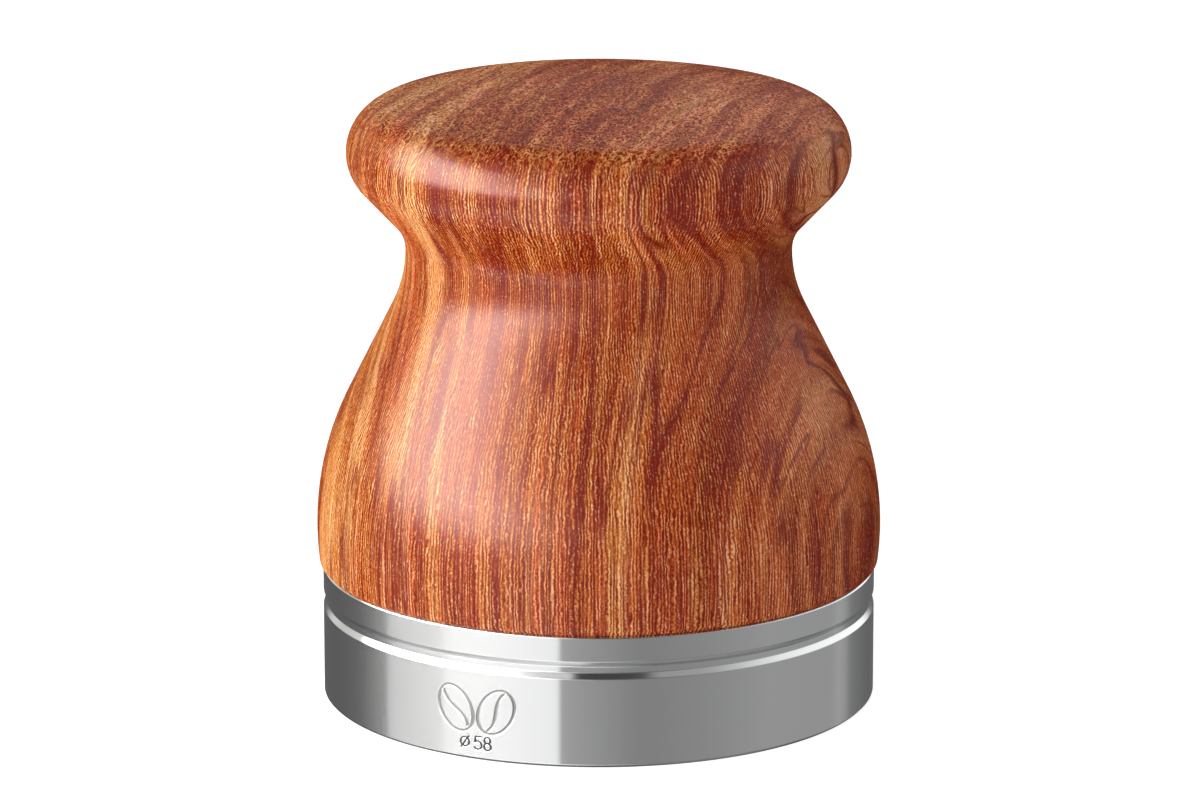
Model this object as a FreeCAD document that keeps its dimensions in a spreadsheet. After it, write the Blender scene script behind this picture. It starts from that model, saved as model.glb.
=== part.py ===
import FreeCAD, Part
import math
import os
import re
import Sketcher

# Espresso tamper: a turned hardwood handle that unscrews from a solid stainless base.
# Millimetres. The origin is the centre of the tamping face, +Z runs up the handle.

doc = FreeCAD.newDocument("espresso_tamper")

# Driving dimensions: name, value (millimetres unless the meaning says otherwise), meaning.
SIZES = [
    ("base_radius", 29.0, "tamping face and piston wall, for a 58 mm basket"),
    ("base_top", 14.0, "height of the face that the handle seats on"),
    ("base_edge_break", 0.3, "chamfer round the tamping face"),
    ("base_top_break", 0.25, "chamfer under the handle"),
    ("groove_low", 9.4, "lower lip of the turned groove"),
    ("groove_high", 11.25, "upper lip of the turned groove"),
    ("groove_flank", 0.6, "height of each sloping flank"),
    ("groove_depth", 0.4, "depth of the groove floor"),
    ("thread_pitch", 1.25, "M8 coarse thread"),
    ("crest_radius", 3.95, "stud thread, outside"),
    ("root_radius", 3.25, "stud thread, core"),
    ("flank_slope", 0.5774, "tangent of the 30 degree thread flank"),
    ("thread_play", 0.1, "radial and axial play of every nut thread"),
    ("tool_reach", 0.1, "how far a cutter stands out of the wall it cuts"),
    ("base_thread_start", 4, "lowest thread groove of the base, in pitches above the face"),
    ("base_thread_turns", 8, "turns of that groove"),
    ("stud_thread_start", 2.5, "lowest thread groove of the stud, in pitches above the face"),
    ("stud_thread_turns", 19, "turns of that groove"),
    ("insert_thread_start", 10, "lowest thread groove of the insert, in pitches above the face"),
    ("insert_thread_turns", 16, "turns of that groove"),
    ("hole_floor", 4.0, "floor of the blind tapped hole in the base"),
    ("relief_top", 5.8, "top of the thread run-out in that hole"),
    ("relief_radius", 4.2, "wall of the thread run-out"),
    ("mouth_radius", 4.4, "countersink of a tapped hole"),
    ("stud_top", 26.0, "upper end of the 22 mm set screw"),
    ("stud_break", 0.8, "chamfer on each end of the set screw"),
    ("key_width", 4.0, "hexagon socket across its flats"),
    ("key_depth", 5.0, "depth of the hexagon socket"),
    ("washer_radius", 11.0, "friction washer, outside"),
    ("washer_bore", 8.3, "friction washer, inside"),
    ("washer_top", 15.0, "upper face of the friction washer"),
    ("flange_radius", 8.0, "flange of the threaded insert"),
    ("flange_low", 14.2, "lower face of that flange"),
    ("flange_top", 15.4, "upper face of that flange"),
    ("insert_radius", 6.0, "barrel of the threaded insert"),
    ("insert_top", 31.4, "upper end of the threaded insert"),
    ("glue_groove", 0.4, "depth of the insert's glue grooves and flutes"),
    ("glue_width", 1.4, "width of the insert's glue grooves"),
    ("flute_count", 12, "number of flutes round the insert"),
    ("bore_top", 33.0, "blind end of the bore in the handle"),
    ("recess_play", 0.1, "play round the washer and the flange"),
    ("heel_round", 0.7, "round at the lower edge of the wood"),
    ("bulge_radius", 29.6, "widest radius of the wood, low on the handle"),
    ("bulge_height", 18.2, "height of that widest place"),
    ("bulge_curve", 31.3, "curve of the bulge, seen from the side"),
    ("neck_radius", 20.15, "narrowest radius, at the neck"),
    ("neck_height", 47.7, "height of the neck"),
    ("neck_curve_low", 13.7, "curve of the neck below its narrowest place"),
    ("neck_curve_high", 4.45, "curve of the neck above it"),
    ("cap_radius", 26.27, "widest radius of the palm knob"),
    ("cap_height", 58.04, "height of that widest place"),
    ("cap_curve", 5.2, "curve of the knob's rim"),
    ("handle_top", 65.0, "crown of the knob"),
]

sheet = doc.addObject("Spreadsheet::Sheet", "Sizes")
for row, (alias, value, meaning) in enumerate(SIZES, start=1):
    sheet.set(f"A{row}", alias)
    sheet.set(f"B{row}", str(value))
    sheet.setAlias(f"B{row}", alias)
    sheet.set(f"C{row}", meaning)
doc.recompute()


def size(alias):
    """Value of one cell of the sheet."""
    return float(sheet.get(alias))


def bound(expression):
    """A formula over the sheet's names, as an expression that refers to the sheet's cells."""
    names = "|".join(alias for alias, value, meaning in SIZES)
    return re.sub(rf"\b({names})\b", r"Sizes.\1", expression)


def number(expression):
    """Value of a formula over the sheet's names."""
    return float(sheet.evalExpression(bound(expression)))


def new_body(label):
    """An empty body whose label names its file."""
    body = doc.addObject("PartDesign::Body", label)
    body.Label = label
    body.Placement = FreeCAD.Placement()
    return body


def new_sketch(body, name, role, height="0"):
    """A sketch on one of the body's own planes, raised along the plane's normal."""
    sketch = body.newObject("Sketcher::SketchObject", name)
    support = [feature for feature in body.Origin.OriginFeatures if feature.Role == role]
    sketch.AttachmentSupport = (support[0], [""])
    sketch.MapMode = "FlatFace"
    if height != "0":
        sketch.setExpression("AttachmentOffset.Base.z", bound(height))
    return sketch


def drive(sketch, kind, *places, by):
    """Add a distance or radius constraint and bind it to a formula."""
    index = sketch.addConstraint(Sketcher.Constraint(kind, *places, number(by)))
    name = f"{kind.lower()}_{index}"
    sketch.renameConstraint(index, name)
    sketch.setExpression(f"Constraints.{name}", bound(by))


# How a constraint names a sketch's own origin and axes.
ORIGIN_POINT = (-1, 1)
X_AXIS = -1
Y_AXIS = -2


def drive_point(sketch, line, end, across, up):
    """Hold one end of a line at two formulas: across the sketch and up it."""
    if number(across) == 0:
        sketch.addConstraint(Sketcher.Constraint("PointOnObject", line, end, Y_AXIS))
    else:
        drive(sketch, "DistanceX", *ORIGIN_POINT, line, end, by=across)
    if number(up) == 0:
        sketch.addConstraint(Sketcher.Constraint("PointOnObject", line, end, X_AXIS))
    else:
        drive(sketch, "DistanceY", *ORIGIN_POINT, line, end, by=up)


def draw_polygon(sketch, corners):
    """Closed outline of straight lines; each corner is a pair of formulas."""
    spots = [FreeCAD.Vector(number(across), number(up), 0) for across, up in corners]
    for spot, following in zip(spots, spots[1:] + spots[:1]):
        sketch.addGeometry(Part.LineSegment(spot, following), False)
    for line in range(len(corners)):
        sketch.addConstraint(Sketcher.Constraint("Coincident", line, 2, (line + 1) % len(corners), 1))
    for line, (across, up) in enumerate(corners):
        drive_point(sketch, line, 1, across, up)


def turn(body, kind, name, sketch):
    """Revolution or Groove of an outline about the body's own Z axis."""
    feature = body.newObject("PartDesign::" + kind, name)
    feature.Profile = sketch
    feature.ReferenceAxis = (sketch, ["V_Axis"])
    feature.Angle = 360
    return feature


def turned_body(label, corners):
    """A body turned on the lathe from an outline of radius and height formulas."""
    body = new_body(label)
    sketch = new_sketch(body, label + "_outline", "XZ_Plane")
    draw_polygon(sketch, corners)
    turn(body, "Revolution", label + "_turning", sketch)
    doc.recompute()
    return body


LEAST_CUT = 0.01                    # cubic millimetres


def must_cut(body, name, make):
    """Run one cutting step and check that it took material away."""
    before = body.Shape.Volume
    make()
    doc.recompute()
    if body.Shape.Volume > before - LEAST_CUT:
        raise RuntimeError(name + " cut nothing")


def cut_thread(body, name, profile, start, turns):
    """Cut a right-handed helical groove; its start and length are counted in pitches."""
    sketch = new_sketch(body, name + "_profile", "XZ_Plane")
    middle = f"{start} * thread_pitch"
    inner, inner_half, outer, outer_half = profile
    draw_polygon(sketch, [
        (inner, f"{middle} - ({inner_half})"),
        (outer, f"{middle} - ({outer_half})"),
        (outer, f"{middle} + ({outer_half})"),
        (inner, f"{middle} + ({inner_half})"),
    ])

    def make():
        helix = body.newObject("PartDesign::SubtractiveHelix", name)
        helix.Profile = sketch
        helix.ReferenceAxis = (sketch, ["V_Axis"])
        helix.Mode = 0
        helix.setExpression("Pitch", bound("thread_pitch"))
        helix.setExpression("Height", bound(f"{turns} * thread_pitch"))
        helix.Angle = 0
        helix.Growth = 0
        helix.LeftHanded = False
        helix.Reversed = False

    must_cut(body, name, make)


# Thread cutters: inner radius, half width there, outer radius, half width there.
# A ridge of the stud is a quarter pitch each side of its middle at the mean radius.
MEAN_RADIUS = "((crest_radius + root_radius) / 2)"
STUD_GROOVE = (
    "root_radius",
    f"thread_pitch / 4 - ({MEAN_RADIUS} - root_radius) * flank_slope",
    "crest_radius + tool_reach",
    f"thread_pitch / 4 + (crest_radius + tool_reach - {MEAN_RADIUS}) * flank_slope",
)
NUT_GROOVE = (
    "root_radius + thread_play - tool_reach",
    f"thread_pitch / 4 + thread_play + ({MEAN_RADIUS} - root_radius - thread_play + tool_reach)"
    " * flank_slope",
    "crest_radius + thread_play",
    f"thread_pitch / 4 + thread_play - (crest_radius + thread_play - {MEAN_RADIUS}) * flank_slope",
)


def make_base():
    """Solid stainless piston with one turned groove and a blind tapped hole from above."""
    bore = "root_radius + thread_play"
    body = turned_body("tamper_base", [
        ("0", "0"),
        ("base_radius - base_edge_break", "0"),
        ("base_radius", "base_edge_break"),
        ("base_radius", "groove_low"),
        ("base_radius - groove_depth", "groove_low + groove_flank"),
        ("base_radius - groove_depth", "groove_high - groove_flank"),
        ("base_radius", "groove_high"),
        ("base_radius", "base_top - base_top_break"),
        ("base_radius - base_top_break", "base_top"),
        ("mouth_radius", "base_top"),
        (bore, f"base_top - (mouth_radius - {bore})"),
        (bore, f"relief_top + (relief_radius - {bore})"),
        ("relief_radius", "relief_top"),
        ("relief_radius", "hole_floor"),
        ("0", "hole_floor"),
    ])
    cut_thread(body, "base_thread", NUT_GROOVE, "base_thread_start", "base_thread_turns")
    return body


def make_stud():
    """M8 x 22 set screw with a hexagon socket, seated on the floor of the base's hole."""
    body = turned_body("base_stud", [
        ("0", "hole_floor"),
        ("crest_radius - stud_break", "hole_floor"),
        ("crest_radius", "hole_floor + stud_break"),
        ("crest_radius", "stud_top - stud_break"),
        ("crest_radius - stud_break", "stud_top"),
        ("0", "stud_top"),
    ])
    cut_thread(body, "stud_thread", STUD_GROOVE, "stud_thread_start", "stud_thread_turns")
    sketch = new_sketch(body, "key_outline", "XY_Plane", "stud_top")
    corners = []
    for step in range(6):
        angle = 60 * step
        corners.append((f"key_width / sqrt(3) * cos({angle} deg)",
                        f"key_width / sqrt(3) * sin({angle} deg)"))
    draw_polygon(sketch, corners)

    def make():
        socket = body.newObject("PartDesign::Pocket", "key_socket")
        socket.Profile = sketch
        socket.setExpression("Length", bound("key_depth"))

    must_cut(body, "key_socket", make)
    return body


def make_washer():
    """Flat friction washer that lies in the handle's recess and bears on the base."""
    return turned_body("friction_washer", [
        ("washer_bore", "base_top"),
        ("washer_radius", "base_top"),
        ("washer_radius", "washer_top"),
        ("washer_bore", "washer_top"),
    ])


GLUE_GROOVES = 3


def make_insert():
    """Flanged brass insert, glued into the handle, with glue grooves, flutes and an M8 thread."""
    bore = "root_radius + thread_play"
    waist = "insert_radius - glue_groove"
    corners = [
        ("mouth_radius", "flange_low"),
        ("flange_radius", "flange_low"),
        ("flange_radius", "flange_top"),
        ("insert_radius", "flange_top"),
    ]
    for groove in range(1, GLUE_GROOVES + 1):
        start = f"flange_top + (insert_top - flange_top) * {groove} / {GLUE_GROOVES + 1} - glue_width / 2"
        corners += [
            ("insert_radius", start),
            (waist, start),
            (waist, f"{start} + glue_width"),
            ("insert_radius", f"{start} + glue_width"),
        ]
    corners += [
        ("insert_radius", "insert_top - glue_groove"),
        (waist, "insert_top"),
        ("mouth_radius", "insert_top"),
        (bore, f"insert_top - (mouth_radius - {bore})"),
        (bore, f"flange_low + (mouth_radius - {bore})"),
    ]
    body = turned_body("threaded_insert", corners)
    cut_thread(body, "insert_thread", NUT_GROOVE, "insert_thread_start", "insert_thread_turns")

    sketch = new_sketch(body, "flute_outline", "XY_Plane", "flange_top")
    draw_polygon(sketch, [
        (waist, "0"),
        ("insert_radius + tool_reach", "0 - glue_groove - tool_reach"),
        ("insert_radius + tool_reach", "glue_groove + tool_reach"),
    ])

    def make():
        flute = body.newObject("PartDesign::Pocket", "flute")
        flute.Profile = sketch
        flute.Reversed = True
        flute.setExpression("Length", bound("insert_top - flange_top"))
        doc.recompute()
        flutes = body.newObject("PartDesign::PolarPattern", "flutes")
        flutes.Originals = [flute]
        flutes.Axis = (sketch, ["N_Axis"])
        flutes.Angle = 360
        flutes.setExpression("Occurrences", bound("flute_count"))
        body.Tip = flutes

    must_cut(body, "flutes", make)
    return body


def touch_points(convex, convex_radius, hollow, hollow_radius):
    """Ends of the line that leaves a convex arc and joins a hollow arc on its other side."""
    reach = hollow - convex
    lean = math.acos((convex_radius + hollow_radius) / reach.Length)
    side = -1 if reach.y > 0 else 1
    angle = math.atan2(reach.y, reach.x) + side * lean
    outward = FreeCAD.Vector(math.cos(angle), math.sin(angle), 0)
    return convex + outward * convex_radius, hollow - outward * hollow_radius


def arc_between(centre, start, end):
    """Anticlockwise arc about a centre."""
    first = math.atan2(start.y - centre.y, start.x - centre.x)
    last = math.atan2(end.y - centre.y, end.x - centre.x)
    circle = Part.Circle(centre, FreeCAD.Vector(0, 0, 1), (start - centre).Length)
    return Part.ArcOfCircle(circle, first, last)


def draw_handle_outline(sketch):
    """Heel, bulge, neck and knob as arcs and lines, each tangent to the next."""
    point = FreeCAD.Vector
    bulge = point(size("bulge_radius") - size("bulge_curve"), size("bulge_height"), 0)
    neck_low = point(size("neck_radius") + size("neck_curve_low"), size("neck_height"), 0)
    neck_high = point(size("neck_radius") + size("neck_curve_high"), size("neck_height"), 0)
    knob = point(size("cap_radius") - size("cap_curve"), size("cap_height"), 0)
    waist = point(size("neck_radius"), size("neck_height"), 0)

    # The heel's arc lies inside the bulge's arc and touches the seating face.
    heel_up = size("base_top") + size("heel_round")
    heel_reach = size("bulge_curve") - size("heel_round")
    heel_across = bulge.x + math.sqrt(heel_reach ** 2 - (heel_up - bulge.y) ** 2)
    heel = point(heel_across, heel_up, 0)
    heel_foot = point(heel.x, size("base_top"), 0)
    heel_end = bulge + (heel - bulge).normalize() * size("bulge_curve")

    # The crown's arc is centred on the axis and touches the knob's arc.
    rise = size("handle_top") - knob.y
    crown_curve = (knob.x ** 2 + rise ** 2 - size("cap_curve") ** 2) / (2 * (rise - size("cap_curve")))
    crown = point(0, size("handle_top") - crown_curve, 0)
    crown_rim = crown + (knob - crown).normalize() * crown_curve

    flank_foot, flank_head = touch_points(bulge, size("bulge_curve"), neck_low, size("neck_curve_low"))
    throat_head, throat_foot = touch_points(knob, size("cap_curve"), neck_high, size("neck_curve_high"))

    axis_foot = point(0, size("base_top"), 0)
    axis_head = point(0, size("handle_top"), 0)
    FOOT, HEEL, BULGE, FLANK, LOW, HIGH, THROAT, RIM, CROWN, AXIS = range(10)
    outline = [
        Part.LineSegment(axis_foot, heel_foot),
        arc_between(heel, heel_foot, heel_end),
        arc_between(bulge, heel_end, flank_foot),
        Part.LineSegment(flank_foot, flank_head),
        arc_between(neck_low, waist, flank_head),
        arc_between(neck_high, throat_foot, waist),
        Part.LineSegment(throat_foot, throat_head),
        arc_between(knob, throat_head, crown_rim),
        arc_between(crown, crown_rim, axis_head),
        Part.LineSegment(axis_head, axis_foot),
    ]
    sketch.addGeometry(outline, False)
    START, END, CENTRE = 1, 2, 3
    smooth_joins = [
        (FOOT, END, HEEL, START),
        (HEEL, END, BULGE, START),
        (BULGE, END, FLANK, START),
        (FLANK, END, LOW, END),
        (LOW, START, HIGH, END),
        (HIGH, START, THROAT, START),
        (THROAT, END, RIM, START),
        (RIM, END, CROWN, START),
    ]
    for join in smooth_joins:
        sketch.addConstraint(Sketcher.Constraint("Tangent", *join))
    sketch.addConstraint(Sketcher.Constraint("Coincident", CROWN, END, AXIS, START))
    sketch.addConstraint(Sketcher.Constraint("Coincident", AXIS, END, FOOT, START))
    for line, end in ((AXIS, START), (AXIS, END), (CROWN, CENTRE)):
        sketch.addConstraint(Sketcher.Constraint("PointOnObject", line, end, Y_AXIS))
    sketch.addConstraint(Sketcher.Constraint("Horizontal", FOOT))
    drive(sketch, "DistanceY", *ORIGIN_POINT, AXIS, END, by="base_top")
    drive(sketch, "DistanceY", *ORIGIN_POINT, AXIS, START, by="handle_top")
    curves = [
        (HEEL, "heel_round"),
        (BULGE, "bulge_curve"),
        (LOW, "neck_curve_low"),
        (HIGH, "neck_curve_high"),
        (RIM, "cap_curve"),
    ]
    for arc, curve in curves:
        drive(sketch, "Radius", arc, by=curve)
    drive(sketch, "DistanceX", BULGE, CENTRE, *ORIGIN_POINT, by="bulge_curve - bulge_radius")
    drive(sketch, "DistanceY", *ORIGIN_POINT, BULGE, CENTRE, by="bulge_height")
    drive(sketch, "DistanceX", *ORIGIN_POINT, LOW, CENTRE, by="neck_radius + neck_curve_low")
    drive(sketch, "DistanceY", *ORIGIN_POINT, LOW, CENTRE, by="neck_height")
    drive(sketch, "DistanceY", *ORIGIN_POINT, HIGH, CENTRE, by="neck_height")
    drive(sketch, "DistanceX", *ORIGIN_POINT, RIM, CENTRE, by="cap_radius - cap_curve")
    drive(sketch, "DistanceY", *ORIGIN_POINT, RIM, CENTRE, by="cap_height")


def make_handle():
    """Turned hardwood handle with a stepped blind bore for the washer and the insert."""
    body = new_body("wood_handle")
    outline = new_sketch(body, "handle_outline", "XZ_Plane")
    draw_handle_outline(outline)
    turn(body, "Revolution", "handle_turning", outline)
    doc.recompute()
    sketch = new_sketch(body, "bore_outline", "XZ_Plane")
    draw_polygon(sketch, [
        ("0", "base_top - tool_reach"),
        ("washer_radius + recess_play", "base_top - tool_reach"),
        ("washer_radius + recess_play", "washer_top"),
        ("flange_radius + recess_play", "washer_top"),
        ("flange_radius + recess_play", "flange_top"),
        ("insert_radius", "flange_top"),
        ("insert_radius", "bore_top"),
        ("0", "bore_top"),
    ])
    must_cut(body, "bore", lambda: turn(body, "Groove", "bore", sketch))
    return body


bodies = [make_base(), make_stud(), make_washer(), make_insert(), make_handle()]
doc.recompute()

for item in doc.Objects:
    if "Invalid" in item.State or "Error" in item.State:
        raise RuntimeError(f"{item.Label} failed: {item.State}")
for body in bodies:
    shape = body.Shape
    if shape.isNull() or not shape.isValid() or len(shape.Solids) != 1:
        raise RuntimeError(body.Label + " is not one valid solid")

os.makedirs("parts", exist_ok=True)
for body in bodies:
    body.Shape.exportStep(f"parts/{body.Label}.step")
    box = body.Shape.BoundBox
    print(f"{body.Label}: {body.Shape.Volume:.1f} mm3, z {box.ZMin:.2f} to {box.ZMax:.2f},"
          f" width {box.XLength:.2f}")
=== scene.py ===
import math

import bpy
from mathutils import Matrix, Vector


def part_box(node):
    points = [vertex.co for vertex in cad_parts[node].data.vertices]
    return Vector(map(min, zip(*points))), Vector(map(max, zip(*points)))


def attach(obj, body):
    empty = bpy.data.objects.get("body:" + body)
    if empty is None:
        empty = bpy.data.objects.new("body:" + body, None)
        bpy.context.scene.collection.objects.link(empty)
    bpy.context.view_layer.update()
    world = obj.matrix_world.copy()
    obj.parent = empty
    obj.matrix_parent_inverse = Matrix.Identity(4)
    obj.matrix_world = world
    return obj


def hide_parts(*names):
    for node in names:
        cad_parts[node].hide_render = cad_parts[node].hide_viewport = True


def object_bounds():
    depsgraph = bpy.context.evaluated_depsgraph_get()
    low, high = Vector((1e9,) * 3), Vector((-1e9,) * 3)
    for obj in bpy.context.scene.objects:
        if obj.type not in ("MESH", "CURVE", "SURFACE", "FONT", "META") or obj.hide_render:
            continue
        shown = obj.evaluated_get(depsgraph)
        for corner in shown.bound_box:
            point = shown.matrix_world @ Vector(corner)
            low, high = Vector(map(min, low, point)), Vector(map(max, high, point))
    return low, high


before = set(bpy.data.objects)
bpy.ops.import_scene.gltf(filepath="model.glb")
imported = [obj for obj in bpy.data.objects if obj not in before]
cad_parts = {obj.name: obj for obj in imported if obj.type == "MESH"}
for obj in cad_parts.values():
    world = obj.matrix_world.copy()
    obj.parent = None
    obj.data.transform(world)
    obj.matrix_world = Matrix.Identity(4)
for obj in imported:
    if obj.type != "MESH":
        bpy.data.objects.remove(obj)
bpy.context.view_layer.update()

# Espresso tamper: turned hardwood handle on a solid stainless base.
# Metres, in the CAD frame: the tamping face is at z = 0 and +Z runs up the handle.

MM = 0.001

scene = bpy.context.scene


# ---------------------------------------------------------------- node trees

class Graph:
    """A node tree with short calls for its nodes."""

    def __init__(self, tree):
        self.tree = tree
        tree.nodes.clear()

    def add(self, kind, settings=None, **inputs):
        """Add a node; inputs are sockets by name (with _ for a space) as values or as links."""
        node = self.tree.nodes.new("ShaderNode" + kind)
        for name, value in (settings or {}).items():
            setattr(node, name, value)
        for name, value in inputs.items():
            self.feed(node.inputs[name.replace("_", " ")], value)
        return node

    def feed(self, socket, value):
        if isinstance(value, bpy.types.NodeSocket):
            self.tree.links.new(value, socket)
        else:
            socket.default_value = value

    def math(self, operation, *values, clamp=False):
        node = self.tree.nodes.new("ShaderNodeMath")
        node.operation = operation
        node.use_clamp = clamp
        for socket, value in zip(node.inputs, values):
            self.feed(socket, value)
        return node.outputs[0]

    def vector(self, operation, *values):
        node = self.tree.nodes.new("ShaderNodeVectorMath")
        node.operation = operation
        for socket, value in zip(node.inputs, values):
            self.feed(socket, value)
        return node.outputs["Vector"]

    def noise(self, vector, detail=2.0, roughness=0.5, result="Fac"):
        node = self.add("TexNoise", {"noise_dimensions": "3D"}, Vector=vector, Scale=1.0,
                        Detail=detail, Roughness=roughness)
        return node.outputs[result]

    def spread(self, value, low, high, new_low=0.0, new_high=1.0, smooth=True):
        """Map low..high onto new_low..new_high, held at both ends."""
        node = self.add("MapRange", {"interpolation_type": "SMOOTHSTEP" if smooth else "LINEAR",
                                     "clamp": True})
        for name, number in (("Value", value), ("From Min", low), ("From Max", high),
                             ("To Min", new_low), ("To Max", new_high)):
            self.feed(node.inputs[name], number)
        return node.outputs["Result"]

    def ramp(self, value, stops):
        """Colour ramp; stops are (position, (r, g, b))."""
        node = self.add("ValToRGB", Fac=value)
        band = node.color_ramp
        while len(band.elements) < len(stops):
            band.elements.new(0.5)
        for element, (position, colour) in zip(band.elements, stops):
            element.position = position
            element.color = (*colour, 1.0)
        return node.outputs["Color"]

    def mix(self, share, first, second, blend="MIX"):
        node = self.add("Mix", {"data_type": "RGBA", "blend_type": blend})
        self.feed(node.inputs[0], share)
        self.feed(node.inputs[6], first)
        self.feed(node.inputs[7], second)
        return node.outputs[2]

    def combine(self, x, y, z):
        return self.add("CombineXYZ", X=x, Y=y, Z=z).outputs[0]

    def parts(self, vector):
        """The X, Y and Z of a vector."""
        split = self.add("SeparateXYZ", Vector=vector).outputs
        return split["X"], split["Y"], split["Z"]

    def millimetres(self):
        """Place in the object's own frame, in millimetres."""
        metres = self.add("TexCoord").outputs["Object"]
        return self.vector("MULTIPLY", metres, (1 / MM, 1 / MM, 1 / MM))

    def surface(self, shader):
        output = self.add("OutputMaterial")
        self.tree.links.new(shader, output.inputs["Surface"])


def new_material(name):
    material = bpy.data.materials.new(name)
    material.use_nodes = True
    return material, Graph(material.node_tree)


def dress(node, material):
    """Give a CAD node a better material, in place of its plain one."""
    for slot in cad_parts[node].material_slots:
        slot.material = material


# ---------------------------------------------------------------- materials

WHITE = (1.0, 1.0, 1.0, 1.0)
BURN = "burn"                       # point attribute: how dark the laser has left the base there
BURNT_STEEL = (0.045, 0.045, 0.048, 1.0)
RINGS_PER_MM = 14.0
GROWTH_TURN = math.radians(-19.0)   # the growth layers stand across this direction
WOOD_STOPS = [
    (0.00, (0.130, 0.006, 0.001)),
    (0.20, (0.225, 0.015, 0.001)),
    (0.35, (0.335, 0.044, 0.005)),
    (0.55, (0.490, 0.110, 0.019)),
    (0.75, (0.640, 0.215, 0.066)),
    (1.00, (0.850, 0.415, 0.215)),
]
VEIN_RED = (0.180, 0.008, 0.002, 1.0)
# pale gold of the fibre flecks, made paler so that it also carries a painted glint
FIBRE_GOLD_AND_GLINT = (0.880, 0.500, 0.330, 1.0)
RED_CAST = (1.03, 0.90, 0.94, 1.0)  # hue drifts between these from layer to layer
GOLD_CAST = (0.97, 1.18, 1.00, 1.0)
GOLD_TO_RED_SPAN = 160.0                   # how slowly the colour turns from gold to red across the handle
LAYER_SHIFT = (28.0, 0.0, 0.0)      # which part of the tree the handle was cut from
FIBRE_COUNT = 460                   # fibre lines once round the handle
END_GRAIN_LOW, END_GRAIN_HIGH = 60.5, 62.8      # side grain turns to end grain between them
KNOB_LOW, KNOB_HIGH = 49.0, 55.0    # the grain gains contrast between them
KNOB_CONTRAST = 1.25


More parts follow.
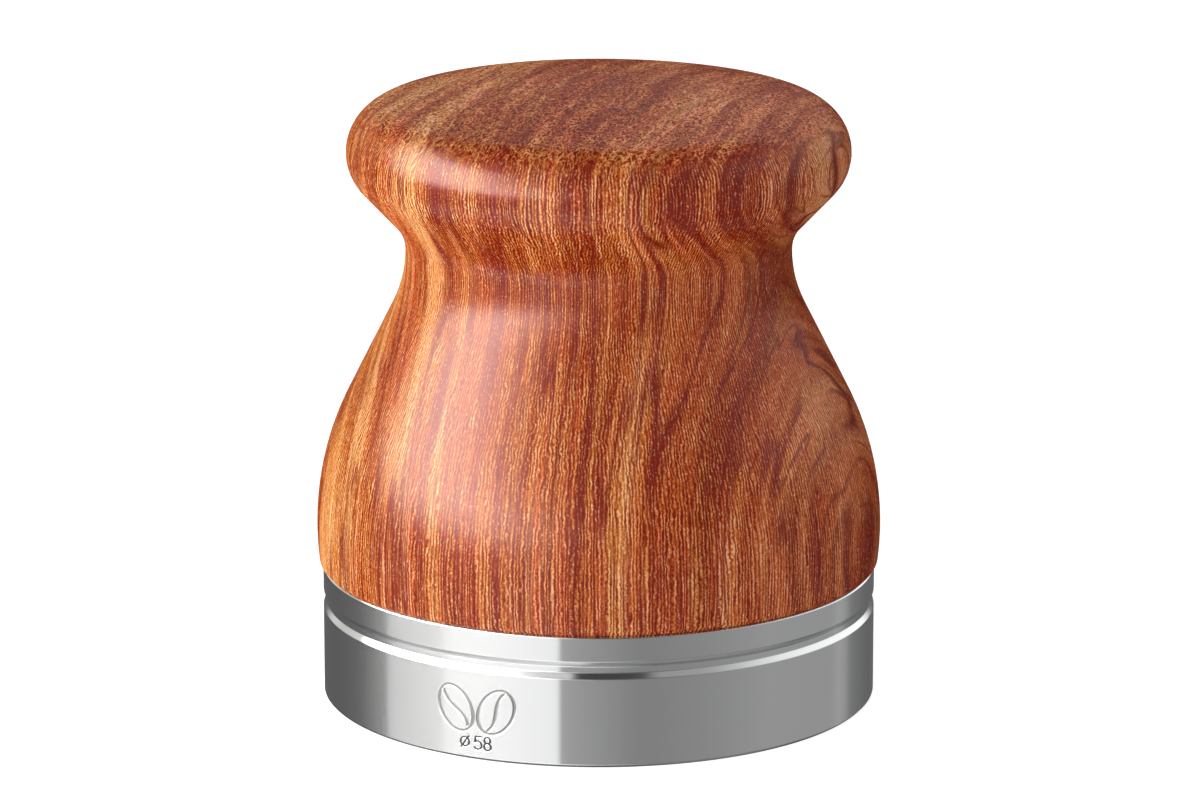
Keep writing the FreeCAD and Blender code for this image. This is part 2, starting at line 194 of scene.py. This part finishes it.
def wood_material():
    """Reddish hardwood: growth bands across the turning, with a fine rope-like fibre."""
    material, g = new_material("polished_hardwood")
    place = g.millimetres()
    x, y, z = g.parts(place)

    def centred(vector, sizes, **settings):
        """Noise of the given cell sizes, about -0.3 to 0.3."""
        scaled = g.vector("MULTIPLY", vector, tuple(1 / size for size in sizes))
        return g.math("SUBTRACT", g.noise(scaled, **settings), 0.5)

    def weighted(*terms):
        """Sum of value times weight."""
        total = 0.0
        for value, weight in terms:
            total = g.math("MULTIPLY_ADD", value, weight, total)
        return total

    # Slow sway of the growth layers, long in the direction of the fibres.
    sway_place = g.vector("MULTIPLY", place, (1 / 24, 1 / 24, 1 / 60))
    sway = g.vector("SUBTRACT", g.noise(sway_place, detail=1.0, result="Color"), (0.5, 0.5, 0.5))
    swayed = g.vector("ADD", place, g.vector("MULTIPLY", sway, (5.0, 5.0, 0.0)))
    swayed = g.vector("ADD", swayed, LAYER_SHIFT)
    turned = g.add("VectorRotate", {"rotation_type": "Z_AXIS"}, Vector=swayed,
                   Angle=-GROWTH_TURN).outputs[0]

    # Broad bands, narrow ones between them, and thin dark veins along some of their edges.
    broad = centred(turned, (4.4, 34, 110))
    middle = centred(turned, (1.7, 20, 80))
    narrow = centred(turned, (0.8, 14, 60), detail=1.0)
    wide_veins = g.math("ABSOLUTE", centred(turned, (2.4, 20, 80), detail=1.0))
    thin_veins = g.math("ABSOLUTE", centred(turned, (1.2, 14, 70), detail=1.0))
    veins = g.math("MAXIMUM", g.spread(wide_veins, 0.0, 0.06, 1.0, 0.0),
                   g.spread(thin_veins, 0.0, 0.05, 0.8, 0.0))
    veins = g.math("MULTIPLY", veins, g.spread(centred(turned, (2.5, 6, 20)), -0.2, 0.05))
    bands = weighted((broad, 1.15), (middle, 0.65), (narrow, 0.65))
    bands = g.spread(bands, -0.45, 0.45, -0.32, 0.24)

    # Fibres on the side: thin lines up the handle, calm where it stands upright and wavy where
    # the turning cuts across them.
    end_share = g.spread(z, END_GRAIN_LOW, END_GRAIN_HIGH)
    angle = g.math("ARCTAN2", x, g.math("MULTIPLY", y, -1.0))
    unrest = g.spread(centred(turned, (2.2, 7, 14)), -0.12, 0.12, 0.5, 5.0)
    waves = g.math("MULTIPLY", centred(place, (0.8, 0.8, 0.7), detail=1.0), unrest)
    phase = weighted((angle, FIBRE_COUNT), (centred(place, (1.3, 1.3, 16.0)), 16.0),
                     (centred(place, (0.5, 0.5, 7.0)), 7.0), (waves, 1.0),
                     (centred(place, (0.45, 0.45, 0.32)), 5.0))
    lines = g.math("SINE", phase)
    beads = weighted((centred(place, (0.24, 0.24, 1.0)), 0.55),
                     (centred(place, (0.2, 0.2, 0.22)), 1.0))

    # End grain on the top: a fine maze, drawn out along the layers.
    maze = g.spread(g.math("ABSOLUTE", centred(turned, (0.4, 0.8, 3.0))), 0.0, 0.13, 0.9, -0.9)
    fibres = g.spread(end_share, 0.0, 1.0, lines, maze, smooth=False)

    strength = g.spread(centred(place, (0.9, 0.9, 3.0)), -0.2, 0.2, 0.14, 0.39)
    vein_share = g.spread(end_share, 0.0, 1.0, 0.95, 0.55, smooth=False)
    bands = g.math("MULTIPLY", bands, g.spread(end_share, 0.0, 1.0, 1.0, 0.85, smooth=False))
    tone = weighted((bands, 1.0), (beads, 0.75), (g.math("MULTIPLY", fibres, strength), 1.0))
    tone = g.math("MULTIPLY", tone, g.spread(z, KNOB_LOW, KNOB_HIGH, 1.0, KNOB_CONTRAST))
    colour = g.ramp(g.math("ADD", tone, 0.51), WOOD_STOPS)

    # Golden towards the viewer's left (-x), redder towards the right (+x), with a random drift
    # between them.
    warmth = weighted((centred(turned, (2.0, 14, 60)), 1.0), (x, -1 / GOLD_TO_RED_SPAN))
    warmth = g.spread(warmth, -0.2, 0.2)
    colour = g.mix(1.0, colour, g.mix(warmth, RED_CAST, GOLD_CAST), blend="MULTIPLY")
    colour = g.mix(g.math("MULTIPLY", veins, vein_share), colour, VEIN_RED)
    # Paler gold on the fibre crests and beads: partly the wood's own light fibres, partly a painted
    # glint of the varnish catching light.
    flecks_and_glint = g.math("MULTIPLY", g.spread(fibres, 0.2, 1.0), g.spread(beads, 0.02, 0.22))
    colour = g.mix(g.math("MULTIPLY", flecks_and_glint, 0.5), colour, FIBRE_GOLD_AND_GLINT)

    relief = weighted((fibres, 0.35), (beads, 0.5))
    bump = g.add("Bump", Strength=0.3, Distance=0.03 * MM, Height=relief)
    # A weak varnish of high index shines face-on like a real one, and doesn't glare at the rim.
    skin = g.add("BsdfPrincipled", Base_Color=colour, Roughness=0.5, Normal=bump.outputs[0],
                 Specular_IOR_Level=0.0, Coat_Weight=0.08, Coat_Roughness=0.26, Coat_IOR=4.0)
    g.surface(skin.outputs[0])
    return material


def turned_metal(name, colour, roughness, streak, engraved=False):
    """Metal turned on a lathe: fine rings round Z that stretch reflections up and down."""
    material, g = new_material(name)
    x, y, z = g.parts(g.millimetres())
    reach = g.math("SQRT", g.math("ADD", g.math("MULTIPLY", x, x), g.math("MULTIPLY", y, y)))
    rings = g.noise(g.combine(g.math("MULTIPLY", reach, RINGS_PER_MM), 0.0,
                              g.math("MULTIPLY", z, RINGS_PER_MM)), detail=3.0, roughness=0.7)
    tint = g.mix(g.spread(rings, 0.3, 0.7), (*[c * 0.94 for c in colour], 1.0), (*colour, 1.0))
    tangent = g.add("Tangent", {"direction_type": "RADIAL", "axis": "Z"})
    bump = g.add("Bump", Strength=0.15, Distance=0.004 * MM, Height=rings)
    gloss = g.math("ADD", roughness, g.math("MULTIPLY", g.math("SUBTRACT", rings, 0.5), 0.08))
    if engraved:
        burn = g.add("Attribute", {"attribute_name": BURN}).outputs["Fac"]
        tint = g.mix(burn, tint, BURNT_STEEL)
        gloss = g.math("ADD", gloss, g.math("MULTIPLY", burn, 0.35))
        streak = g.math("SUBTRACT", streak, burn, clamp=True)
    skin = g.add("BsdfPrincipled", Base_Color=tint, Metallic=1.0, Roughness=gloss,
                 Anisotropic=streak, Anisotropic_Rotation=0.25, Tangent=tangent.outputs[0],
                 Normal=bump.outputs[0])
    g.surface(skin.outputs[0])
    return material


def rubber_material():
    """Matt black rubber with a fine grain."""
    material, g = new_material("washer_rubber")
    place = g.vector("MULTIPLY", g.millimetres(), (3.0, 3.0, 3.0))
    grain = g.noise(place, detail=4.0, roughness=0.7)
    colour = g.ramp(grain, [(0.3, (0.012, 0.012, 0.013)), (0.8, (0.030, 0.030, 0.032))])
    bump = g.add("Bump", Strength=0.3, Distance=0.02 * MM, Height=grain)
    skin = g.add("BsdfPrincipled", Base_Color=colour, Roughness=0.75, Normal=bump.outputs[0])
    g.surface(skin.outputs[0])
    return material


BOUNCE_LEFT, BOUNCE_RIGHT = 1.55, 0.33
BOUNCE_FROM, BOUNCE_TO = -70, 40    # the light thrown up falls off between these, in millimetres
FLOOR_SEEN = 0.80                   # glow that makes the floor white to the camera


def floor_material():
    """Plain pale floor that throws light back up, more of it from the left."""
    material, g = new_material("pale_floor")
    seen = g.add("LightPath").outputs["Is Camera Ray"]
    x = g.parts(g.millimetres())[0]
    bounce = g.spread(x, BOUNCE_FROM, BOUNCE_TO, BOUNCE_LEFT, BOUNCE_RIGHT)
    skin = g.add("BsdfPrincipled", Base_Color=(0.5, 0.5, 0.5, 1.0), Roughness=0.8,
                 Specular_IOR_Level=0.1, Emission_Color=WHITE,
                 Emission_Strength=g.spread(seen, 0.0, 1.0, bounce, FLOOR_SEEN, smooth=False))
    g.surface(skin.outputs[0])
    return material


# ---------------------------------------------------------------- engraved marks

# In millimetres on the unrolled wall: across it (to the right) and up it.
MARK_TURN = math.radians(-25.8)     # the marks stand to the viewer's left
MARK_DEPTH = 0.07
MARK_EDGE = 0.05                    # width of a stroke's sloping side
BEAN_LONG = 2.55
BEAN_SHORT = 1.8
BEAN_HEIGHT = 5.3
BEAN_APART = 2.3                    # from the middle of the pair to each bean's middle
BEAN_LEAN = math.radians(58)
BEAN_STROKE = 0.3
BEAN_BURN = 0.75                    # the beans are burnt less dark than the size
BEAN_CREASE_REACH = 0.86            # share of the bean's length that its crease runs along
BEAN_CREASE_SWAY = 0.42             # how far the crease swings to each side of the middle
DIGIT_HEIGHT = 1.35
DIGIT_FOOT = 1.15                   # height of the figures' foot line above the tamping face
DIGIT_STROKE = 0.2


def line_distance(x, y, x0, y0, x1, y1):
    """Distance to a straight stroke from (x0, y0) to (x1, y1)."""
    length = (x1 - x0) ** 2 + (y1 - y0) ** 2
    share = max(0.0, min(1.0, ((x - x0) * (x1 - x0) + (y - y0) * (y1 - y0)) / length))
    return math.hypot(x - x0 - share * (x1 - x0), y - y0 - share * (y1 - y0))


def arc_distance(x, y, centre_x, centre_y, radius, first, sweep):
    """Distance to an arc that starts at first degrees and turns anticlockwise by sweep degrees."""
    angle = (math.degrees(math.atan2(y - centre_y, x - centre_x)) - first) % 360
    if angle <= sweep:
        return abs(math.hypot(x - centre_x, y - centre_y) - radius)
    ends = [math.radians(first), math.radians(first + sweep)]
    return min(math.hypot(x - centre_x - radius * math.cos(end),
                          y - centre_y - radius * math.sin(end)) for end in ends)


# Each figure stands in a box one unit high: strokes as lines (4 numbers) and arcs (5 numbers).
DIAMETER_SIGN = [(0.40, 0.48, 0.36, 0, 360), (0.08, 0.02, 0.72, 0.94)]
FIVE = [(0.56, 1.0, 0.12, 1.0), (0.12, 1.0, 0.07, 0.55), (0.29, 0.32, 0.32, -150, 282)]
EIGHT = [(0.30, 0.76, 0.24, 0, 360), (0.30, 0.27, 0.28, 0, 360)]
SIZE_MARK = [(0.00, DIAMETER_SIGN), (1.22, FIVE), (2.02, EIGHT)]
SIZE_MARK_WIDTH = 2.62


def size_mark_distance(x, y):
    """Distance to the nearest stroke of the size mark."""
    across = x / DIGIT_HEIGHT + SIZE_MARK_WIDTH / 2
    up = (y - DIGIT_FOOT) / DIGIT_HEIGHT
    nearest = 1.0
    for start, figure in SIZE_MARK:
        for stroke in figure:
            measure = line_distance if len(stroke) == 4 else arc_distance
            nearest = min(nearest, measure(across - start, up, *stroke))
    return nearest * DIGIT_HEIGHT


def bean_distance(x, y, side):
    """Distance to the rim or the crease of one coffee bean of the pair."""
    x -= side * BEAN_APART
    y -= BEAN_HEIGHT
    lean = side * BEAN_LEAN
    along = x * math.cos(lean) + y * math.sin(lean)
    aside = y * math.cos(lean) - x * math.sin(lean)
    slope = 2 * math.hypot(along / BEAN_LONG ** 2, aside / BEAN_SHORT ** 2) + 0.001
    rim = abs((along / BEAN_LONG) ** 2 + (aside / BEAN_SHORT) ** 2 - 1) / slope
    wave = math.pi / BEAN_LONG * 0.85
    steepness = math.hypot(1, BEAN_CREASE_SWAY * wave * math.cos(along * wave))
    crease = abs(aside - BEAN_CREASE_SWAY * math.sin(along * wave)) / steepness
    past_end = max(0.0, abs(along) - BEAN_CREASE_REACH * BEAN_LONG)
    return min(rim, math.hypot(crease, past_end))


def stroke_share(distance, stroke):
    """1 inside a stroke, 0 outside it, with a short slope between."""
    share = (stroke / 2 + MARK_EDGE / 2 - distance) / MARK_EDGE
    share = max(0.0, min(1.0, share))
    return share * share * (3 - 2 * share)


def mark_at(x, y):
    """(depth share, burn share) at a place on the unrolled wall, from the middle of the marks."""
    size_share = stroke_share(size_mark_distance(x, y), DIGIT_STROKE)
    bean_share = max(stroke_share(bean_distance(x, y, side), BEAN_STROKE) for side in (-1, 1))
    return max(size_share, bean_share), max(size_share, bean_share * BEAN_BURN)


# ---------------------------------------------------------------- pieces

CORNER_ROUND = 0.05 * MM            # every turned edge is just broken
GUARD = 0.06 * MM                   # a row this close to a corner keeps the flat beside it flat
COARSE_TURN = math.radians(1.6)     # step round the base away from the marks


def soften(corners):
    """A turned profile with each inner corner rounded and guarded; corners are (radius, height)."""
    softened = [corners[0]]
    for before, corner, after in zip(corners, corners[1:], corners[2:]):
        into = (Vector(before) - Vector(corner)).normalized()
        out = (Vector(after) - Vector(corner)).normalized()
        start = Vector(corner) + into * CORNER_ROUND
        end = Vector(corner) + out * CORNER_ROUND
        middle = (start + end) / 4 + Vector(corner) / 2
        softened += [start + into * GUARD, start, middle, end, end + out * GUARD]
    softened.append(corners[-1])
    return [tuple(point) for point in softened]


def lathe_mesh(name, rows, turns, shift=None):
    """A closed turned mesh; rows are (radius, height) and the first and last lie on the axis."""
    mesh = bpy.data.meshes.new(name)
    points = [(0.0, 0.0, rows[0][1])]
    burns = [0.0]
    for radius, height in rows[1:-1]:
        for turn in turns:
            sunk, burn = shift(radius, height, turn) if shift else (0.0, 0.0)
            reach = radius - sunk
            points.append((reach * math.sin(turn), -reach * math.cos(turn), height))
            burns.append(burn)
    points.append((0.0, 0.0, rows[-1][1]))
    burns.append(0.0)
    count = len(turns)
    faces = []
    for column in range(count):
        following = (column + 1) % count
        faces.append((0, 1 + following, 1 + column))
        for row in range(len(rows) - 3):
            low = 1 + row * count
            high = low + count
            faces.append((low + column, low + following, high + following, high + column))
        last = 1 + (len(rows) - 3) * count
        faces.append((last + column, last + following, len(points) - 1))
    mesh.from_pydata(points, [], faces)
    attribute = mesh.attributes.new(BURN, "FLOAT", "POINT")
    attribute.data.foreach_set("value", burns)
    mesh.shade_smooth()
    mesh.update()
    return mesh


def even_steps(start, end, step):
    """Values from start to end, both included, at most a step apart."""
    count = max(1, math.ceil(abs(end - start) / step))
    return [start + (end - start) * index / count for index in range(count + 1)]


def make_base():
    """The stainless base as turned on a lathe, with the size mark and a pair of beans engraved."""
    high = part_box("tamper_base")[1]
    radius = high.x
    top = high.z
    groove_low, groove_high = 9.4 * MM, 11.25 * MM
    groove_depth, flank = 0.4 * MM, 0.6 * MM
    edge_low, edge_high = 0.3 * MM, 0.25 * MM
    mouth, bore, bore_floor = 4.4 * MM, 4.0 * MM, 4.0 * MM
    wall_low = (radius, edge_low)
    wall_high = (radius, groove_low)
    lower = soften([(0.0, 0.0), (radius - edge_low, 0.0), wall_low, wall_high])[:-1]
    upper = soften([
        wall_low, wall_high,
        (radius - groove_depth, groove_low + flank), (radius - groove_depth, groove_high - flank),
        (radius, groove_high), (radius, top - edge_high), (radius - edge_high, top), (mouth, top),
        (bore, top - (mouth - bore)), (bore, bore_floor), (0.0, bore_floor),
    ])[1:]
    mark_low, mark_high = 0.9 * MM, 8.4 * MM
    mark_reach = 5.4 * MM / radius
    fine = 0.055 * MM
    rows = lower + [(radius, height) for height in even_steps(mark_low, mark_high, fine)] + upper
    turns = even_steps(MARK_TURN - mark_reach, MARK_TURN + mark_reach, fine / radius)
    rest = even_steps(turns[-1], turns[0] + 2 * math.pi, COARSE_TURN)
    turns += rest[1:-1]

    def engrave(at_radius, height, turn):
        away = turn - MARK_TURN
        on_wall = abs(at_radius - radius) < 1e-6 and mark_low < height < mark_high
        if not on_wall or abs(away) > mark_reach:
            return 0.0, 0.0
        sunk, burn = mark_at(away * radius / MM, height / MM)
        return sunk * MARK_DEPTH * MM, burn

    base = bpy.data.objects.new("engraved_base", lathe_mesh("engraved_base", rows, turns, engrave))
    base.data.materials.append(turned_metal("turned_stainless", (0.655, 0.66, 0.665), 0.14, 1.0,
                                            engraved=True))
    scene.collection.objects.link(base)
    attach(base, "base")
    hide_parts("tamper_base")


make_base()
dress("wood_handle", wood_material())
dress("base_stud", turned_metal("screw_steel", (0.40, 0.40, 0.41), 0.35, 0.3))
dress("threaded_insert", turned_metal("machined_brass", (0.78, 0.56, 0.25), 0.3, 0.3))
dress("friction_washer", rubber_material())

# ---------------------------------------------------------------- floor, light, camera

FLOOR_SIZE = 6.0
bpy.ops.mesh.primitive_plane_add(size=FLOOR_SIZE, location=(0, 0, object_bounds()[0].z))
floor = bpy.context.object
floor.name = "floor"
floor.data.materials.append(floor_material())
floor.visible_glossy = False


SOFTBOX_SIZE = 0.5
SOFTBOX_DISTANCE = 0.8
SOFTBOX_AIM = Vector((0, 0, 0.035))


def softbox(name, turn, rise, power):
    """Square light at a turn from the viewer's side and a rise above the floor, in degrees."""
    light = bpy.data.lights.new(name, "AREA")
    light.shape = "SQUARE"
    light.size = SOFTBOX_SIZE
    light.energy = power
    box = bpy.data.objects.new(name, light)
    a, e = math.radians(turn), math.radians(rise)
    direction = Vector((math.sin(a) * math.cos(e), -math.cos(a) * math.cos(e), math.sin(e)))
    box.location = SOFTBOX_AIM + direction * SOFTBOX_DISTANCE
    box.rotation_euler = direction.to_track_quat("Z", "Y").to_euler()
    box.visible_camera = False
    box.visible_glossy = False
    scene.collection.objects.link(box)


softbox("key_box", turn=-80, rise=18, power=2.85)
softbox("front_box", turn=-8, rise=25, power=1.8)

WARM = (1.0, 0.97, 0.90)
CEILING = (0.10, 0.10, 0.10, 1.0)
PANEL_LEAN = 50                     # degrees that the glossy panel leans round per unit of height

# Where one level of the room gives way to the next, as heights on a sphere of radius 1.
LOW_TO_MIDDLE = (-0.02, 0.14)
MIDDLE_TO_UPPER = (0.66, 0.76)
UPPER_TO_CEILING = (0.88, 0.97)
TABLE_FOOT = (-0.82, -0.66)
TABLE_HEAD = (-0.46, -0.58)


def studio_world():
    """White behind the object; a plain grey room with panels for what shines."""
    world = bpy.data.worlds.new("studio")
    world.use_nodes = True
    world.cycles.sampling_method = "NONE"
    scene.world = world
    g = Graph(world.node_tree)
    ray = g.add("LightPath")
    direction = g.add("TexCoord").outputs["Generated"]
    x, y, z = g.parts(direction)
    turn = g.math("ARCTAN2", x, g.math("MULTIPLY", y, -1.0))
    share = g.math("ADD", g.math("DIVIDE", turn, 2 * math.pi), 0.5)
    leaning_share = g.math("MULTIPLY_ADD", z, PANEL_LEAN / 360, share)

    def stop(degrees, level, tint=(1.0, 1.0, 1.0)):
        """A level of light at a turn from the viewer's side, in degrees to the right."""
        return (0.5 + degrees / 360, tuple(level * part for part in tint))

    low_room = g.ramp(share, [
        stop(-180, 0.12), stop(-140, 0.14), stop(-120, 0.18), stop(-110, 0.25), stop(-100, 0.33),
        stop(-98, 0.74), stop(-69, 0.82), stop(-67, 1.10), stop(-17, 1.22), stop(-15.5, 0.41),
        stop(15, 0.33), stop(45, 0.38), stop(75, 0.45), stop(108, 0.42), stop(116, 0.42),
        stop(119, 0.50), stop(126, 0.42), stop(131, 0.25), stop(150, 0.16), stop(180, 0.12),
    ])
    middle_room = g.ramp(leaning_share, [
        stop(-180, 1.90), stop(-160, 1.70), stop(-140, 1.1), stop(-125, 0.8, WARM),
        stop(-104, 1.0, WARM), stop(-97, 7.5, WARM), stop(-82, 12.5, WARM), stop(-68, 15.8, WARM),
        stop(-52, 16.6, WARM), stop(-40, 14.8, WARM), stop(-30, 10.6, WARM), stop(-20, 6.6, WARM),
        stop(-8, 2.6, WARM), stop(4, 0.7, WARM), stop(20, 0.12), stop(45, 0.20), stop(85, 0.5),
        stop(120, 1.3), stop(150, 1.60), stop(180, 1.90),
    ])
    upper_room = g.ramp(share, [
        stop(-180, 0.10), stop(-140, 0.2), stop(-102, 0.3), stop(-99, 1.0), stop(-40, 1.1),
        stop(-15, 1.1), stop(-12, 0.05), stop(24, 0.05), stop(32, 0.50), stop(110, 0.60),
        stop(143, 0.35), stop(180, 0.10),
    ])
    table = g.ramp(share, [
        stop(-125, 0.10), stop(-108, 1.2), stop(-80, 2.4), stop(-30, 2.4), stop(0, 1.7),
        stop(25, 0.12),
    ])
    room = g.mix(g.spread(z, *LOW_TO_MIDDLE), low_room, middle_room)
    on_table = g.math("MULTIPLY", g.spread(z, *TABLE_FOOT), g.spread(z, *TABLE_HEAD))
    room = g.mix(on_table, room, table)
    room = g.mix(g.spread(z, *MIDDLE_TO_UPPER), room, upper_room)
    room = g.mix(g.spread(z, *UPPER_TO_CEILING), room, CEILING)
    glossy = g.add("Background", Color=room, Strength=1.0)
    around = g.math("MULTIPLY", g.spread(z, 0.0, 1.0, 0.21, 0.66), g.spread(x, -1.0, 1.0, 1.2, 0.6))
    soft = g.add("Background", Color=WHITE, Strength=around)
    white = g.add("Background", Color=WHITE, Strength=1.0)
    for_light = g.add("MixShader", Fac=ray.outputs["Is Glossy Ray"])
    g.tree.links.new(soft.outputs[0], for_light.inputs[1])
    g.tree.links.new(glossy.outputs[0], for_light.inputs[2])
    for_all = g.add("MixShader", Fac=ray.outputs["Is Camera Ray"])
    g.tree.links.new(for_light.outputs[0], for_all.inputs[1])
    g.tree.links.new(white.outputs[0], for_all.inputs[2])
    output = g.add("OutputWorld")
    g.tree.links.new(for_all.outputs[0], output.inputs["Surface"])


studio_world()
scene.view_settings.view_transform = "Standard"

CAMERA_RISE = math.radians(14.58)
CAMERA_DISTANCE = 0.750
CAMERA_LENS = 214.75
SENSOR_WIDTH = 36.0
AIM = Vector((0.00013, 0.0, 0.03126))
camera_data = bpy.data.cameras.new("camera")
camera_data.sensor_width = SENSOR_WIDTH
camera_data.lens = CAMERA_LENS
camera = bpy.data.objects.new("camera", camera_data)
away = Vector((0, -math.cos(CAMERA_RISE), math.sin(CAMERA_RISE)))
camera.location = AIM + CAMERA_DISTANCE * away
camera.rotation_euler = (math.pi / 2 - CAMERA_RISE, 0, 0)
scene.collection.objects.link(camera)
scene.camera = camera
